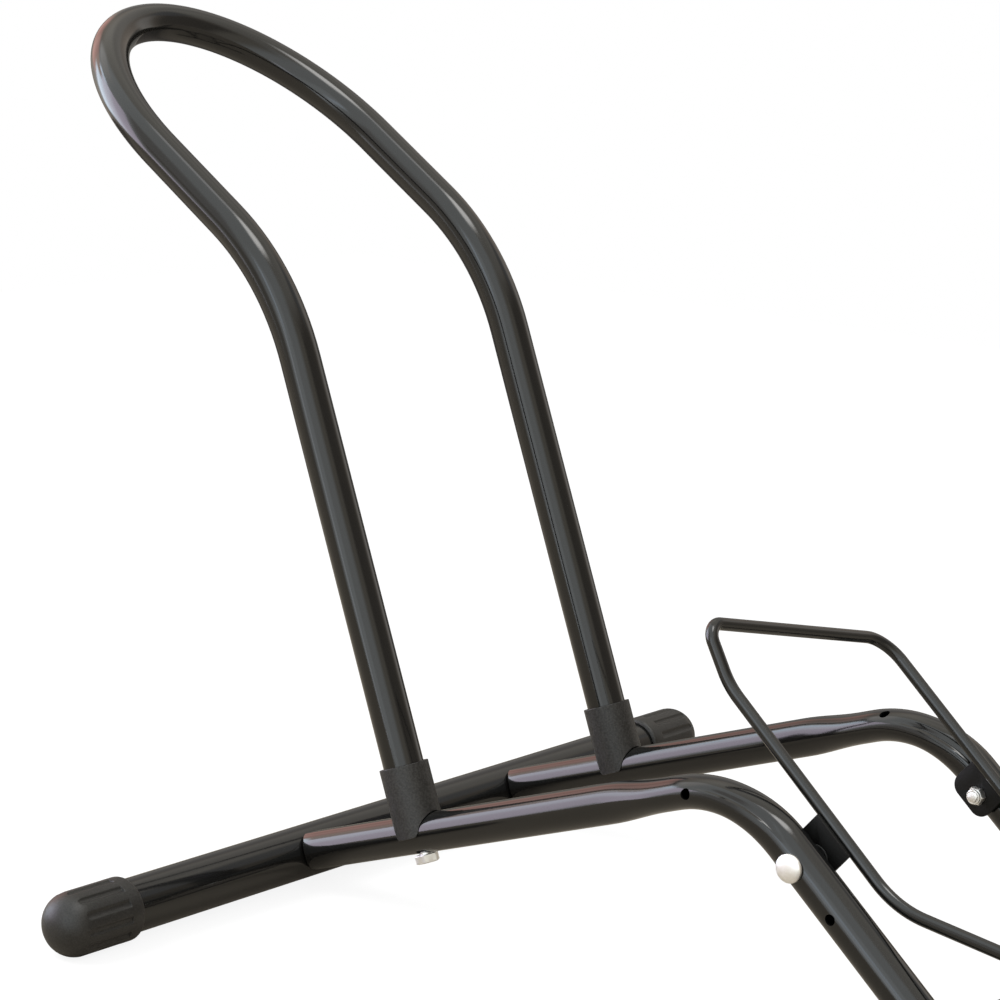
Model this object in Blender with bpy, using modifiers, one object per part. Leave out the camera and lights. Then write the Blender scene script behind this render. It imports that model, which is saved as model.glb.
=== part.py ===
"""Floor rack for one bicycle wheel: two bent rails on two cross tubes, a tall hoop, and a wheel stop of thick wire.

Lengths are in metres and angles in degrees. The wheel comes in from the rear, which is +X, and the hoop leans to
the front. Left is -Y. The rack stands on Z = 0, and X = 0 and Y = 0 are the middle of its outer box.
"""

import math

import bmesh
import bpy
from mathutils import Matrix, Vector
from mathutils.geometry import intersect_point_line

# Gap between neighbouring pieces, the wall of every steel tube, and how meshes are joined and shaded
CLEAR = 0.0003
TUBE_WALL = 0.0015
WELD = 0.00002
SMOOTH_BELOW = 35.0

# Cross tubes and their end caps
CROSS_TUBE_R = 0.0165
CAP_RIM_Y = 0.249
CAP_R = 0.0195
CAP_LENGTH = 0.0575
CAP_FLOOR = 0.010
CAP_COLLAR = 0.0105
CAP_COLLAR_ROUND = 0.003
CAP_DOME = 0.0175
CAP_DOME_TURNS = (25, 52)
CAP_DOME_FULLNESS = 0.88
CAP_DOME_FLAT = 0.45
FLUTES = 12
FLUTE_DEPTH = 0.0012
FLUTE_SHARE = 0.42
FLUTE_RUNOUT = 0.0012
FLUTE_WALL_TURN = 2.0

# Rails
RAIL_R = 0.012
RAIL_SPACING = 0.200
RAIL_RISE = 19.85
RAIL_FALL = 39.7
RAIL_CORNER = 0.3545
RAIL_BEND_R = 0.076
PRESS_DEPTH = 0.0022
PRESS_WIDTH = 0.0020
PRESS_LEAD = 0.011
PRESS_HOLD = 0.045
PRESS_RAMP_IN = 0.040
PRESS_RAMP_OUT = 0.045
PRESS_STEPS = 4
PRESS_TAIL = 0.012
SPARE_HOLE_R = 0.0032
SPARE_HOLE_FRONT = 0.325
SPARE_HOLE_REAR = 0.0925
SPARE_HOLE_TURN = 42.0

# Hoop, its sleeves and its bolts
HOOP_TUBE_R = 0.0125
HOOP_SEAT = 0.108
HOOP_LEAN = 111.65
HOOP_LEG = 0.3505
HOOP_UPPER_LEAN = 147.5
HOOP_BEND_R = 0.166
HOOP_UPPER = 0.123
HOOP_ARCH_DEPTH = 0.131
SLEEVE_R = 0.0152
SLEEVE_HEIGHT = 0.0427
TONGUE_DROP = 0.001
TONGUE_ROUND = 0.004
INSERT_LENGTH = 0.020
INSERT_SPARE = 0.004
HOOP_BOLT_R = 0.004
HOOP_BOLT_FLATS = 0.013
HOOP_BOLT_HEAD = 0.0053

# Wheel stop: wire, bracket plates and pivot hardware
WIRE_R = 0.00375
PIVOT_PAST_CORNER = 0.0567
STOP_DROP = 0.0179
STOP_AHEAD = 0.1065
STOP_MIDDLE = 0.1559
STOP_MIDDLE_FALL = 40.6
STOP_TIP = 0.0378
STOP_TIP_FALL = 61.2
STOP_REAR = 0.150
STOP_REAR_FALL = 7.2
STOP_TIP_BEND = 0.0095
STOP_NECK_BEND = 0.048
STOP_KNEE_BEND = 0.061
STOP_CORNER_BEND = 0.022
PLATE_THICK = 0.0027
PLATE_FRONT = 0.0172
PLATE_REAR = 0.0123
PLATE_BELOW = 0.011
PLATE_ROUND = 0.008
PIVOT_BOLT_R = 0.003
PIVOT_HEAD_R = 0.00825
PIVOT_HEAD_HEIGHT = 0.0040
PIVOT_TAIL = 0.0015
WASHER_R = 0.008
WASHER_THICK = 0.00095
NUT_FLATS = 0.010
NUT_HEIGHT = 0.006
NUT_COLLAR = 0.0015

# How finely round shapes are cut
CROSS_SIDES = 32
RAIL_SIDES = 20
HOOP_SIDES = 16
WIRE_SIDES = 10
SLEEVE_SIDES = 32
BOLT_SIDES = 16
BEND_STEP = 8.0
DOME_STEPS = 4
ARCH_STEPS = 20


def start_clean():
    """Empty the scene and make the collections for the parts and the cutters."""
    for old in list(bpy.data.objects):
        bpy.data.objects.remove(old)
    folders = []
    for name in ("bike_storage_rack", "cutters"):
        folder = bpy.data.collections.new(name)
        bpy.context.scene.collection.children.link(folder)
        folders.append(folder)
    return folders


def material(name, colour, roughness, metallic):
    """A plain Principled material."""
    made = bpy.data.materials.new(name)
    made.use_nodes = True
    shader = made.node_tree.nodes["Principled BSDF"]
    shader.inputs["Base Color"].default_value = (*colour, 1.0)
    shader.inputs["Roughness"].default_value = roughness
    shader.inputs["Metallic"].default_value = metallic
    return made


parts, cutters = start_clean()
paint = material("black_gloss_paint", (0.040, 0.038, 0.034), 0.28, 0.0)
wire_paint = material("black_wire_paint", (0.036, 0.037, 0.036), 0.30, 0.0)
plate_paint = material("black_plate_paint", (0.012, 0.012, 0.012), 0.45, 0.0)
sleeve_plastic = material("grained_black_plastic", (0.040, 0.040, 0.039), 0.75, 0.0)
cap_plastic = material("ribbed_black_plastic", (0.042, 0.042, 0.040), 0.65, 0.0)
zinc = material("bright_zinc", (0.80, 0.80, 0.79), 0.25, 1.0)


def heading(angle):
    """Unit vector in the XZ plane at this angle above +X."""
    return Vector((math.cos(math.radians(angle)), 0.0, math.sin(math.radians(angle))))


def empty(name, location, parent=None):
    """An empty that carries pieces."""
    made = bpy.data.objects.new(name, None)
    made.location = location
    made.parent = parent
    parts.objects.link(made)
    return made


def piece(name, mesh, finish, location=(0, 0, 0), turn=Matrix(), parent=None):
    """A named part with its mesh, material, place and parent."""
    made = bpy.data.objects.new(name, mesh)
    made.parent = parent or rack
    made.matrix_local = Matrix.Translation(location) @ turn.to_4x4()
    if not mesh.materials:
        mesh.materials.append(finish)
    mesh.shade_smooth()
    mesh.set_sharp_from_angle(angle=math.radians(SMOOTH_BELOW))
    parts.objects.link(made)
    return made


def cutter(name, mesh, location=(0, 0, 0), turn=Matrix(), parent=None):
    """A helper solid that only cuts other solids."""
    made = bpy.data.objects.new(name, mesh)
    made.parent = parent or rack
    made.matrix_local = Matrix.Translation(location) @ turn.to_4x4()
    made.hide_render = True
    made.display_type = "WIRE"
    cutters.objects.link(made)
    return made


def cut(target, tool, operation="DIFFERENCE"):
    """Boolean modifier on the target."""
    step = target.modifiers.new(f"{operation.lower()} {tool.name}", "BOOLEAN")
    step.operation = operation
    step.object = tool
    step.solver = "EXACT"


def facing(direction):
    """Rotation that turns local +Z into this direction."""
    return Vector(direction).to_track_quat("Z", "Y").to_matrix()


def evaluated(made):
    """The evaluated mesh of a curve object, which is then removed."""
    bpy.context.view_layer.update()
    view = bpy.context.evaluated_depsgraph_get()
    mesh = bpy.data.meshes.new_from_object(made.evaluated_get(view))
    bpy.data.objects.remove(made)
    work = bmesh.new()
    work.from_mesh(mesh)
    bmesh.ops.remove_doubles(work, verts=work.verts, dist=WELD)
    bmesh.ops.recalc_face_normals(work, faces=work.faces)
    work.to_mesh(mesh)
    work.free()
    return mesh


def rod_mesh(name, points, radius, sides, caps=True, closed=False):
    """Round rod along a list of points."""
    line = bpy.data.curves.new(name, "CURVE")
    line.dimensions = "3D"
    line.bevel_depth = radius
    line.bevel_resolution = sides // 2 - 2
    line.use_fill_caps = caps
    spline = line.splines.new("POLY")
    spline.points.add(len(points) - 1)
    for point, place in zip(spline.points, points):
        point.co = (*place, 1.0)
    spline.use_cyclic_u = closed
    made = bpy.data.objects.new(name, line)
    parts.objects.link(made)
    return evaluated(made)


def slab_mesh(name, outline, thickness):
    """Flat outline in local XZ, given a thickness along local Y, centred on Y = 0."""
    flat = bpy.data.curves.new(name, "CURVE")
    flat.dimensions = "2D"
    flat.fill_mode = "BOTH"
    flat.extrude = thickness / 2
    spline = flat.splines.new("POLY")
    spline.points.add(len(outline) - 1)
    for point, (across, up) in zip(spline.points, outline):
        point.co = (across, up, 0.0, 1.0)
    spline.use_cyclic_u = True
    made = bpy.data.objects.new(name, flat)
    parts.objects.link(made)
    mesh = evaluated(made)
    mesh.transform(Matrix.Rotation(math.radians(90), 4, "X"))
    return mesh


def cylinder_mesh(name, radius, bottom, top, sides):
    """Closed cylinder along local Z."""
    mesh = bpy.data.meshes.new(name)
    work = bmesh.new()
    bmesh.ops.create_cone(work, cap_ends=True, segments=sides, radius1=radius, radius2=radius, depth=top - bottom)
    bmesh.ops.translate(work, verts=work.verts, vec=(0, 0, (top + bottom) / 2))
    work.to_mesh(mesh)
    work.free()
    return mesh


def hex_mesh(name, flats, bottom, top):
    """Hexagonal prism along local Z."""
    return cylinder_mesh(name, flats / math.sqrt(3), bottom, top, 6)


def hollow(made):
    """Give an open tube its steel wall, inwards."""
    wall = made.modifiers.new("tube wall", "SOLIDIFY")
    wall.thickness = TUBE_WALL
    wall.offset = -1
    wall.use_even_offset = True
    wall.use_rim = True


def rounded(corners, radii, closed=False):
    """Points along straight runs through the corners, with an arc of the given radius at each bend."""
    count = len(corners)
    points = []
    if not closed:
        points.append(corners[0])
    bends = range(count) if closed else range(1, count - 1)
    for index in bends:
        here = corners[index]
        back = (corners[index - 1] - here).normalized()
        ahead = (corners[(index + 1) % count] - here).normalized()
        turn = math.pi - back.angle(ahead)
        radius = radii[index]
        trim = radius * math.tan(turn / 2)
        centre = here + (back + ahead).normalized() * (radius / math.cos(turn / 2))
        first = (here + back * trim - centre).normalized()
        last = (here + ahead * trim - centre).normalized()
        steps = max(2, math.ceil(math.degrees(turn) / BEND_STEP))
        for step in range(steps + 1):
            points.append(centre + first.slerp(last, step / steps) * radius)
    if not closed:
        points.append(corners[-1])
    return points


def arc(centre_x, centre_z, radius, start, end):
    """Points of a corner arc in an outline."""
    turn = end - start
    steps = max(2, math.ceil(abs(turn) / 15))
    angles = [math.radians(start + turn * step / steps) for step in range(steps + 1)]
    return [(centre_x + radius * math.cos(a), centre_z + radius * math.sin(a)) for a in angles]


# Places worked out from the sizes, seen from the front cross tube's middle
rail_y = RAIL_SPACING / 2
rail_up = heading(RAIL_RISE + 90)
corner = heading(RAIL_RISE) * RAIL_CORNER
fall_length = corner.z / math.sin(math.radians(RAIL_FALL))
rear_axis = corner + heading(-RAIL_FALL) * fall_length
seat = heading(RAIL_RISE) * HOOP_SEAT
leg_direction = heading(HOOP_LEAN)
leg_tilt = math.tan(math.radians(abs(HOOP_LEAN - RAIL_RISE - 90)))
leg_foot = RAIL_R + CLEAR + HOOP_TUBE_R * leg_tilt
hoop_knee = seat + leg_direction * HOOP_LEG
arch_start = hoop_knee + heading(HOOP_UPPER_LEAN) * HOOP_UPPER
hoop_top = arch_start + heading(HOOP_UPPER_LEAN) * HOOP_ARCH_DEPTH
pivot = corner + heading(-RAIL_FALL) * PIVOT_PAST_CORNER
plate_up = heading(90 - STOP_MIDDLE_FALL)
plate_along = heading(-STOP_MIDDLE_FALL)
stop_neck = pivot + plate_up * STOP_DROP - plate_along * STOP_AHEAD
stop_knee = stop_neck + plate_along * STOP_MIDDLE
stop_tip = stop_neck - heading(-STOP_TIP_FALL) * STOP_TIP
stop_end = stop_knee + heading(-STOP_REAR_FALL) * STOP_REAR

# The pivot hardware is stacked inwards from the rail's inner side
washer_y = rail_y - RAIL_R - CLEAR - WASHER_THICK / 2
plate_y = washer_y - WASHER_THICK / 2 - CLEAR - PLATE_THICK / 2
nut_y = plate_y - PLATE_THICK / 2 - CLEAR
wire_y = plate_y - PLATE_THICK / 2 - CLEAR - WIRE_R

# The rack's origin is the middle of its outer box, and its caps stand on the floor
box_front = hoop_top.x - HOOP_TUBE_R
box_rear = max(stop_end.x + WIRE_R, rear_axis.x + CAP_R)
rack = empty("rack", (-(box_front + box_rear) / 2, 0, CAP_R))
stop_pivot = empty("wheel_stop_pivot", pivot, rack)


def axes(x_axis, z_axis):
    """Rotation whose local X and Z point in these directions."""
    x_axis = Vector(x_axis)
    z_axis = Vector(z_axis)
    return Matrix((x_axis, z_axis.cross(x_axis), z_axis)).transposed()


def turned(name, profile, sides, finish, location, turn, parent=None):
    """A turned solid: a closed or axis-to-axis profile of (radius, height), swept round local Z."""
    mesh = bpy.data.meshes.new(name)
    count = len(profile)
    edges = [(index, index + 1) for index in range(count - 1)]
    if profile[0][0] > 0:
        edges.append((count - 1, 0))
    mesh.from_pydata([(radius, 0, height) for radius, height in profile], edges, [])
    made = piece(name, mesh, finish, location, turn, parent)
    sweep = made.modifiers.new("turn", "SCREW")
    sweep.steps = sides
    sweep.render_steps = sides
    sweep.use_merge_vertices = True
    sweep.merge_threshold = WELD
    sweep.use_smooth_shade = True
    return made


def cross_tube(name, axis):
    """Straight steel tube along Y, its ends inside the caps."""
    half = CAP_RIM_Y + CAP_LENGTH - CAP_FLOOR - CLEAR
    ends = [Vector((0, -half, 0)), Vector((0, half, 0))]
    hollow(piece(name, rod_mesh(name, ends, CROSS_TUBE_R, CROSS_SIDES, caps=False), paint, axis))


def cap_mesh():
    """Ribbed cup along local Z, its rim at Z = 0 and its dome on top, with a rib's flat facing local -X."""
    step = 360 / FLUTES
    land = step * (1 - FLUTE_SHARE) / 2
    full_r = CAP_R / math.cos(math.radians(land))
    bore_r = CROSS_TUBE_R + CLEAR
    dome_base = CAP_LENGTH - CAP_DOME
    edges = ((-land, 0), (land, 0), (land + FLUTE_WALL_TURN, 1), (step - land - FLUTE_WALL_TURN, 1))
    work = bmesh.new()

    def ring(height, radius, depth=0.0):
        made = []
        for flute in range(FLUTES):
            for offset, in_flute in edges:
                angle = math.radians(180 + flute * step + offset)
                reach = radius - depth * in_flute
                made.append(work.verts.new((reach * math.cos(angle), reach * math.sin(angle), height)))
        return made

    rings = [ring(CAP_LENGTH - CAP_FLOOR, bore_r), ring(0, bore_r), ring(0, full_r - CAP_COLLAR_ROUND)]
    rings.append(ring(CAP_COLLAR_ROUND, full_r))
    rings.append(ring(CAP_COLLAR, full_r))
    rings.append(ring(CAP_COLLAR + FLUTE_RUNOUT, full_r, FLUTE_DEPTH))
    rings.append(ring(dome_base, full_r, FLUTE_DEPTH))
    for turn in CAP_DOME_TURNS:
        angle = math.radians(turn)
        radius = full_r * math.cos(angle) ** CAP_DOME_FULLNESS
        rings.append(ring(dome_base + CAP_DOME * math.sin(angle), radius))
    rings.append(ring(CAP_LENGTH, full_r * CAP_DOME_FLAT))
    for lower, upper in zip(rings, rings[1:]):
        for index in range(len(lower)):
            before = index - 1
            work.faces.new((lower[before], lower[index], upper[index], upper[before]))
    work.faces.new(rings[0])
    work.faces.new(rings[-1])
    bmesh.ops.recalc_face_normals(work, faces=work.faces)
    mesh = bpy.data.meshes.new("end_cap")
    work.to_mesh(mesh)
    work.free()
    return mesh


def end_caps():
    """A cap on each end of both cross tubes, sharing one mesh, each standing on a rib."""
    mesh = cap_mesh()
    for end, axis in (("front", Vector()), ("rear", rear_axis)):
        for name, side in (("left", -1), ("right", 1)):
            place = axis + Vector((0, side * CAP_RIM_Y, 0))
            piece(f"{end}_{name}_end_cap", mesh, cap_plastic, place, axes((0, 0, 1), (0, side, 0)))


def rail_path():
    """The rail's middle line, with extra points where the bend's oval pressing fades in and out."""
    bend = rounded([Vector(), corner, rear_axis], [0, RAIL_BEND_R, 0])
    first, last = bend[1], bend[-2]
    lead = [first - heading(RAIL_RISE) * (PRESS_LEAD + PRESS_RAMP_IN * step / PRESS_STEPS)
            for step in range(PRESS_STEPS, -1, -1)]
    beyond = [last + heading(-RAIL_FALL) * (PRESS_TAIL * step / 2) for step in (1, 2)]
    return [bend[0]] + lead + bend[1:-1] + beyond + [bend[-1]]


def press(mesh, path):
    """Press a tube oval at its bend: thinner in the bend's plane and wider across it."""
    lengths = [0.0]
    for start, end in zip(path, path[1:]):
        lengths.append(lengths[-1] + (end - start).length)
    full_from = lengths[1 + PRESS_STEPS]
    full_to = full_from + PRESS_HOLD
    for vertex in mesh.vertices:
        flat = Vector((vertex.co.x, 0, vertex.co.z))
        options = []
        for index, (start, end) in enumerate(zip(path, path[1:])):
            share = min(1.0, max(0.0, intersect_point_line(flat, start, end)[1]))
            foot = start.lerp(end, share)
            options.append(((flat - foot).length, lengths[index] + share * (end - start).length, foot))
        gap, distance, foot = min(options, key=lambda option: option[0])
        if distance < full_from:
            amount = 1 - (full_from - distance) / PRESS_RAMP_IN
        else:
            amount = 1 - max(0.0, distance - full_to) / PRESS_RAMP_OUT
        amount = min(1.0, max(0.0, amount))
        amount = amount * amount * (3 - 2 * amount)
        pressed = foot + (flat - foot) * (1 - amount * PRESS_DEPTH / RAIL_R)
        pressed.y = vertex.co.y * (1 + amount * PRESS_WIDTH / RAIL_R)
        vertex.co = pressed


def rail(name, side):
    """Bent steel rail, coped on both cross tubes and drilled for the hoop bolt, the pivot and the spare holes."""
    path = rail_path()
    mesh = rod_mesh(name, path, RAIL_R, RAIL_SIDES, caps=False)
    press(mesh, path)
    place = Vector((0, side * rail_y, 0))
    made = piece(name, mesh, paint, place)
    hollow(made)
    across = axes((1, 0, 0), (0, 1, 0))
    reach = RAIL_R + PRESS_WIDTH + TUBE_WALL
    coping = cylinder_mesh("coping", CROSS_TUBE_R + CLEAR, -reach, reach, CROSS_SIDES)
    through = cylinder_mesh("hole", SPARE_HOLE_R, -reach, reach, BOLT_SIDES)
    one_wall = cylinder_mesh("one_wall_hole", SPARE_HOLE_R, 0, reach, BOLT_SIDES)
    bolt_hole = cylinder_mesh("bolt_hole", HOOP_BOLT_R + CLEAR, -reach, reach, BOLT_SIDES)
    pivot_hole = cylinder_mesh("pivot_hole", PIVOT_BOLT_R + CLEAR, -reach, reach, BOLT_SIDES)
    lift = 0 if side < 0 else math.radians(SPARE_HOLE_TURN)
    outwards = Vector((0, -math.cos(lift), 0)) + rail_up * math.sin(lift)
    front_hole = heading(RAIL_RISE) * SPARE_HOLE_FRONT
    rear_hole = corner + heading(-RAIL_FALL) * SPARE_HOLE_REAR
    tools = [("front_coping", coping, Vector(), across), ("rear_coping", coping, rear_axis, across)]
    tools += [("hoop_bolt_hole", bolt_hole, seat, facing(leg_direction)), ("pivot_hole", pivot_hole, pivot, across)]
    tools += [("rear_spare_hole", through, rear_hole, across)]
    tools += [("front_spare_hole", one_wall, front_hole, facing(outwards))]
    for label, shape, where, turn in tools:
        cut(made, cutter(f"{name}_{label}", shape, place + where, turn))


def hoop_path():
    """The hoop's middle line from the left leg's foot, over the arch, to the right leg's foot."""
    upper = heading(HOOP_UPPER_LEAN)
    out = Vector((0, rail_y, 0))
    leg = rounded([seat + leg_direction * leg_foot, hoop_knee, arch_start], [0, HOOP_BEND_R, 0])
    arch = []
    for step in range(ARCH_STEPS + 1):
        turn = math.pi * step / ARCH_STEPS
        arch.append(arch_start + upper * HOOP_ARCH_DEPTH * math.sin(turn) - out * math.cos(turn))
    return [point - out for point in leg[:-1]] + arch + [point + out for point in reversed(leg[:-1])]


def hoop():
    """The tall hoop: one tube bent into two legs and an arch."""
    hollow(piece("hoop_tube", rod_mesh("hoop_tube", hoop_path(), HOOP_TUBE_R, HOOP_SIDES, caps=False), paint))


def tongue_outline():
    """Outline that a sleeve is trimmed to, with a round tongue down each side of the rail."""
    shoulder = TONGUE_ROUND - TONGUE_DROP
    saddle = math.sqrt(max(0.0, (RAIL_R + CLEAR) ** 2 - shoulder ** 2))
    half = math.sqrt(SLEEVE_R ** 2 - saddle ** 2)
    wide = SLEEVE_R + TONGUE_ROUND
    right = arc(half - TONGUE_ROUND, shoulder, TONGUE_ROUND, -90, 0)
    right += [(wide, RAIL_R), (wide, SLEEVE_HEIGHT + TONGUE_ROUND)]
    return right + [(-across, up) for across, up in reversed(right)]


def leg_fittings(name, side):
    """Saddle sleeve, threaded insert and bolt at the foot of one hoop leg."""
    place = seat + Vector((0, side * rail_y, 0))
    turn = axes(-leg_direction.cross(Vector((0, 1, 0))), leg_direction)
    tilt_gap = CLEAR + HOOP_BOLT_FLATS * leg_tilt
    under = -RAIL_R - tilt_gap
    insert_top = leg_foot + INSERT_LENGTH
    bolt_end = insert_top - INSERT_SPARE

    low = -TONGUE_DROP - TONGUE_ROUND
    sleeve = piece(f"{name}_saddle_sleeve", cylinder_mesh("sleeve", SLEEVE_R, low, SLEEVE_HEIGHT, SLEEVE_SIDES),
                   sleeve_plastic, place, turn)
    bore = cylinder_mesh("sleeve_bore", HOOP_TUBE_R + CLEAR, -SLEEVE_HEIGHT, SLEEVE_HEIGHT * 2, SLEEVE_SIDES)
    saddle = cylinder_mesh("saddle", RAIL_R + CLEAR, -SLEEVE_HEIGHT, SLEEVE_HEIGHT, SLEEVE_SIDES)
    tongue = slab_mesh("tongue", tongue_outline(), SLEEVE_HEIGHT * 2)
    cut(sleeve, cutter(f"{name}_sleeve_bore", bore, place, turn))
    cut(sleeve, cutter(f"{name}_saddle_cut", saddle, place, facing(heading(RAIL_RISE))))
    cut(sleeve, cutter(f"{name}_tongue_trim", tongue, place, turn), "INTERSECT")

    insert_r = HOOP_TUBE_R - TUBE_WALL - CLEAR
    ring = [(insert_r, insert_top), (insert_r, leg_foot), (HOOP_BOLT_R + CLEAR, leg_foot),
            (HOOP_BOLT_R + CLEAR, insert_top)]
    turned(f"{name}_leg_insert", ring, BOLT_SIDES, zinc, place, turn)

    head = hex_mesh("hoop_bolt", HOOP_BOLT_FLATS, under - HOOP_BOLT_HEAD, under)
    shank = cylinder_mesh("hoop_bolt_shank", HOOP_BOLT_R, under - HOOP_BOLT_HEAD / 2, bolt_end, BOLT_SIDES)
    bolt = piece(f"{name}_hoop_bolt", head, zinc, place, turn)
    cut(bolt, cutter(f"{name}_hoop_bolt_shank", shank, place, turn), "UNION")


def wire_loop():
    """The wheel stop's wire: its left side has a steeper tip, so its front bar slants down to the right."""
    corners = []
    radii = []
    left = [(stop_tip, STOP_TIP_BEND), (stop_neck, STOP_NECK_BEND), (stop_knee, STOP_KNEE_BEND),
            (stop_end, STOP_CORNER_BEND)]
    right = [(stop_end, STOP_CORNER_BEND), (stop_knee, STOP_KNEE_BEND), (stop_neck, STOP_CORNER_BEND)]
    for run, side in ((left, -1), (right, 1)):
        for point, radius in run:
            corners.append(point - pivot + Vector((0, side * wire_y, 0)))
            radii.append(radius)
    points = rounded(corners, radii, closed=True)
    piece("wire_loop", rod_mesh("wire_loop", points, WIRE_R, WIRE_SIDES, closed=True), wire_paint, parent=stop_pivot)


def bracket_plate(name, side):
    """Flat plate that hangs the wire from the pivot bolt."""
    foot = -PLATE_BELOW + PLATE_ROUND
    outline = arc(-PLATE_FRONT + PLATE_ROUND, foot, PLATE_ROUND, 180, 270)
    outline += arc(PLATE_REAR - PLATE_ROUND, foot, PLATE_ROUND, 270, 360)
    outline += [(PLATE_REAR, STOP_DROP), (-PLATE_FRONT, STOP_DROP)]
    place = Vector((0, side * plate_y, 0))
    plate = piece(f"{name}_bracket_plate", slab_mesh("bracket_plate", outline, PLATE_THICK), plate_paint, place,
                  Matrix.Rotation(math.radians(STOP_MIDDLE_FALL), 3, "Y"), stop_pivot)
    hole = cylinder_mesh("plate_hole", PIVOT_BOLT_R + CLEAR, -PLATE_THICK, PLATE_THICK, BOLT_SIDES)
    cut(plate, cutter(f"{name}_plate_hole", hole, place, axes((1, 0, 0), (0, 1, 0)), stop_pivot))


def pivot_hardware(name, side):
    """Round-headed bolt from outside the rail, friction washer and lock nut."""
    inwards = axes((1, 0, 0), (0, -side, 0))
    head_y = rail_y + RAIL_R + CLEAR
    length = head_y - nut_y + NUT_HEIGHT + PIVOT_TAIL
    dome = []
    for step in range(DOME_STEPS):
        angle = math.radians(90 - 90 * step / DOME_STEPS)
        dome.append((PIVOT_HEAD_R * math.cos(angle), -PIVOT_HEAD_HEIGHT * math.sin(angle)))
    profile = [(0, length), (PIVOT_BOLT_R, length), (PIVOT_BOLT_R, 0), (PIVOT_HEAD_R, 0)] + dome[:0:-1]
    profile.append((0, -PIVOT_HEAD_HEIGHT))
    turned(f"{name}_pivot_bolt", profile, BOLT_SIDES, zinc, pivot + Vector((0, side * head_y, 0)), inwards)

    half = WASHER_THICK / 2
    bore_r = PIVOT_BOLT_R + CLEAR
    ring = [(WASHER_R, half), (WASHER_R, -half), (bore_r, -half), (bore_r, half)]
    turned(f"{name}_friction_washer", ring, BOLT_SIDES, zinc, pivot + Vector((0, side * washer_y, 0)), inwards)

    place = pivot + Vector((0, side * nut_y, 0))
    nut = piece(f"{name}_lock_nut", hex_mesh("lock_nut", NUT_FLATS, 0, NUT_HEIGHT - NUT_COLLAR), zinc, place, inwards)
    collar = cylinder_mesh("nut_collar", NUT_FLATS / 2 - CLEAR, NUT_COLLAR, NUT_HEIGHT, BOLT_SIDES)
    bore = cylinder_mesh("nut_bore", bore_r, -NUT_HEIGHT, NUT_HEIGHT * 2, BOLT_SIDES)
    cut(nut, cutter(f"{name}_nut_collar", collar, place, inwards), "UNION")
    cut(nut, cutter(f"{name}_nut_bore", bore, place, inwards))


cross_tube("front_cross_tube", Vector())
cross_tube("rear_cross_tube", rear_axis)
end_caps()
hoop()
wire_loop()
for side_name, side_sign in (("left", -1), ("right", 1)):
    rail(f"{side_name}_rail", side_sign)
    leg_fittings(side_name, side_sign)
    bracket_plate(side_name, side_sign)
    pivot_hardware(side_name, side_sign)
bpy.context.view_layer.update()
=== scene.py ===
# %% [markdown]
# # A bicycle floor rack in black tube
#
# The rack is bent steel tube under a smooth black powder coat. Two rails stand on two cross tubes, a tall hoop
# leans forward to stop the tyre, and a loop of thick wire on two small plates holds the tyre from behind.
#
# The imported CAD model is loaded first, because everything below is measured from it. Hardly any part is a plain
# cylinder: tube ends are coped, the rails' bends are pressed oval and the caps are fluted. So most pieces are built
# again here with many more faces, in the same places, and each one stands for its CAD node.

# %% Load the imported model
from math import asin, ceil, cos, degrees, pi, radians, sin, sqrt, tan

import bmesh
import bpy
from mathutils import Matrix, Vector


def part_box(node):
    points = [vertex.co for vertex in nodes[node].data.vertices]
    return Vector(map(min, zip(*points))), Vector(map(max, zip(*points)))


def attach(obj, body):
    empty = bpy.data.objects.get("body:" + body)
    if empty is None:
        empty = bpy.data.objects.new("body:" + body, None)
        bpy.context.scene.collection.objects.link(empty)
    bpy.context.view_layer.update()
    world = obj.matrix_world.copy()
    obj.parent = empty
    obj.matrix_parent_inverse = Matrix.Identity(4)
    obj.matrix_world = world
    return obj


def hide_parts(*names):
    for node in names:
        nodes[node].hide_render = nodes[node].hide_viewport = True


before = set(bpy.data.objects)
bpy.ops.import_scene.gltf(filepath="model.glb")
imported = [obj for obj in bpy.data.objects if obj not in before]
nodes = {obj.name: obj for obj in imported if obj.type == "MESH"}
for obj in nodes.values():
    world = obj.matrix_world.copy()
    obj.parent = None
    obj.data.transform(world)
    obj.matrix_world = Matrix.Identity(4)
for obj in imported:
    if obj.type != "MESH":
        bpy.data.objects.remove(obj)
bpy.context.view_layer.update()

# %% [markdown]
# ## Read the rack's main places
#
# The boxes of a few CAD nodes give the places that everything else hangs on, so this file follows when the CAD
# model changes. The rails leave the front tube at one angle and fall to the rear tube at another, so their corner
# is where the two lines cross.

# %% Axes, spacing and the rails' corner
RAIL_RISE = 19.85
RAIL_FALL = 39.7
SIDES = (("left", -1), ("right", 1))


def heading(angle):
    """Unit vector in the XZ plane at this many degrees above +X."""
    return Vector((cos(radians(angle)), 0.0, sin(radians(angle))))


def sideways(distance):
    """A step of this length towards the rack's right side."""
    return Vector((0, distance, 0))


def middle(node):
    """Middle of a CAD node's box, moved onto the rack's middle plane."""
    low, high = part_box(node)
    return Vector(((low.x + high.x) / 2, 0.0, (low.z + high.z) / 2))


front_axis = middle("front_cross_tube")
rear_axis = middle("rear_cross_tube")
tube_ends = (("front", front_axis), ("rear", rear_axis))
pivot = middle("left_friction_washer")
tube_low, tube_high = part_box("front_cross_tube")
cross_radius = (tube_high.z - tube_low.z) / 2
cross_half = tube_high.y
rail_low, rail_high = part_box("right_rail")
rail_y = (rail_low.y + rail_high.y) / 2

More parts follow.
